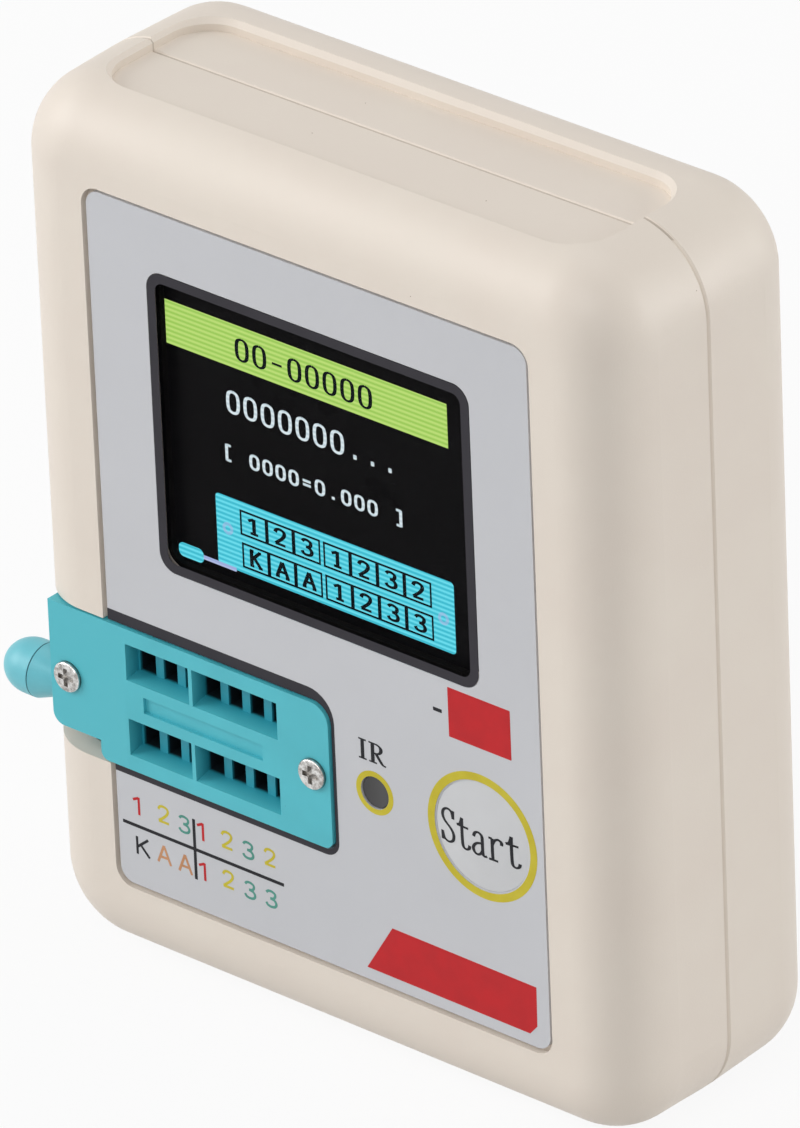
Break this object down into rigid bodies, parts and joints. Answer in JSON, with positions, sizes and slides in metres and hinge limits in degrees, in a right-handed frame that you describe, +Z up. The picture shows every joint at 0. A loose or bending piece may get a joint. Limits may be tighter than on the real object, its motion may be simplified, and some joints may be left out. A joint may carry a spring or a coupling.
{
  "type": "component tester",
  "caption": "Bench tester for electronic components: rounded two-part case with a colour screen, a lever-operated test socket, an infrared window and a round start button.",
  "frame": {"origin": "middle of the whole object seen from above, at the level of the lower rim that it stands on", "axes": "+Z up the case, +X to the right seen from the front, +Y from the front to the back"},
  "size_m": [0.0794, 0.027, 0.087],
  "materials": {
    "case_plastic": "fine satin moulded plastic",
    "overlay_print": "satin printed polycarbonate sheet",
    "clear_window": "clear hard-coated pane",
    "gasket_foam": "black cellular foam",
    "screen_glass": "polarised display glass, lit from behind",
    "backlight_plastic": "white moulded tray",
    "ribbon_film": "amber flexible film",
    "board_laminate": "green solder mask",
    "chip_resin": "black moulded resin",
    "component_metal": "plated cans",
    "bright_steel": "bright plated steel",
    "switch_plastic": "black moulded plastic",
    "button_plastic": "satin moulded plastic",
    "ir_resin": "dark infrared-pass resin",
    "socket_plastic": "moulded glass-filled plastic",
    "contact_bronze": "plated spring bronze",
    "screw_steel": "nickel plated steel",
    "knob_plastic": "moulded plastic",
    "cell_pouch": "laminated pouch",
    "tape_foam": "double-sided foam tape",
    "lead_insulation": "insulated lead"
  },
  "bodies": {
    "case": {"front_shell": "case_plastic", "rear_shell": "case_plastic", "front_overlay": "overlay_print", "screen_window": "clear_window", "screen_gasket": "gasket_foam", "lcd_panel": "screen_glass", "lcd_backlight": "backlight_plastic", "screen_foam": "gasket_foam", "screen_ribbon": "ribbon_film", "main_board": "board_laminate", "microcontroller": "chip_resin", "board_components": "component_metal", "usb_socket": "bright_steel", "tact_switch": "switch_plastic", "ir_receiver": "ir_resin", "socket_base": "socket_plastic", "socket_contacts": "contact_bronze", "socket_cover": "socket_plastic", "socket_cover_screws": "screw_steel", "battery_cell": "cell_pouch", "battery_tape": "tape_foam", "battery_leads": "lead_insulation", "case_screws": "screw_steel", "board_screws": "screw_steel"},
    "lever": {"socket_lever": "bright_steel", "lever_knob": "knob_plastic"},
    "slider": {"socket_slider": "socket_plastic"},
    "button": {"start_button": "button_plastic"},
    "plunger": {"switch_plunger": "switch_plastic"}
  },
  "joints": [
    {"name": "lever_turn", "type": "hinge", "parent": "case", "child": "lever", "pos_m": [-0.0231, -0.00525, 0.02155], "axis": [0, 0, 1], "range_deg": [0, 90]},
    {"name": "slider_shift", "type": "slide", "parent": "case", "child": "slider", "axis": [1, 0, 0], "range_m": [0, 0.0009]},
    {"name": "button_press", "type": "slide", "parent": "case", "child": "button", "axis": [0, 1, 0], "range_m": [0, 0.0005], "stiffness_N_per_m": 600, "springref_m": -0.0004},
    {"name": "plunger_press", "type": "slide", "parent": "case", "child": "plunger", "axis": [0, 1, 0], "range_m": [0, 0.0005]}
  ],
  "couplings": [
    {"joint": "lever_turn", "follows": "slider_shift", "rad_per_m": 1745.3},
    {"joint": "plunger_press", "follows": "button_press", "ratio": 1}
  ]
}
